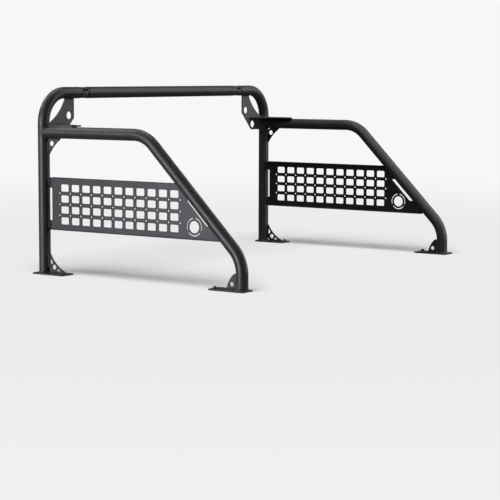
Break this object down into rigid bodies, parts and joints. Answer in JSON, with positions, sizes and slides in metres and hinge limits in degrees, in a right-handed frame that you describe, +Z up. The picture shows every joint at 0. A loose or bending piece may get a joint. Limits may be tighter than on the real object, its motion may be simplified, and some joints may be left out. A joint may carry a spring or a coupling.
{
  "type": "headache rack",
  "caption": "Tube headache rack for a utility vehicle's cargo bed: a crossbar hoop with sloped side rails, slotted grid side panels, gussets and bolt-down feet.",
  "frame": {"origin": "on the plane under the base plates, at the middle of the footprint", "axes": "+X to the vehicle's right, +Y forward towards the cab and the hoop, +Z up"},
  "size_m": [1.558, 0.965, 0.7002],
  "materials": {
    "tube_coat": "fine textured satin black powder coat",
    "plate_coat": "fine textured satin black powder coat",
    "panel_coat": "fine textured satin black powder coat",
    "fastener_black": "black coated steel fasteners"
  },
  "bodies": {
    "root": {"crossbar_tube": "tube_coat", "left_hoop_tube": "tube_coat", "left_side_tube": "tube_coat", "left_coupler_outer": "plate_coat", "left_coupler_inner": "plate_coat", "left_coupler_screw_a": "fastener_black", "left_coupler_screw_b": "fastener_black", "left_corner_gusset": "plate_coat", "left_shelf_gusset": "plate_coat", "left_upper_gusset": "plate_coat", "left_front_foot_gusset": "plate_coat", "left_rear_foot_gusset": "plate_coat", "left_side_panel": "panel_coat", "left_front_base_plate": "plate_coat", "left_front_washer": "fastener_black", "left_front_bolt": "fastener_black", "left_rear_base_plate": "plate_coat", "left_rear_washer": "fastener_black", "left_rear_bolt": "fastener_black", "right_hoop_tube": "tube_coat", "right_side_tube": "tube_coat", "right_coupler_outer": "plate_coat", "right_coupler_inner": "plate_coat", "right_coupler_screw_a": "fastener_black", "right_coupler_screw_b": "fastener_black", "right_corner_gusset": "plate_coat", "right_shelf_gusset": "plate_coat", "right_upper_gusset": "plate_coat", "right_front_foot_gusset": "plate_coat", "right_rear_foot_gusset": "plate_coat", "right_side_panel": "panel_coat", "right_front_base_plate": "plate_coat", "right_front_washer": "fastener_black", "right_front_bolt": "fastener_black", "right_rear_base_plate": "plate_coat", "right_rear_washer": "fastener_black", "right_rear_bolt": "fastener_black"}
  },
  "joints": []
}
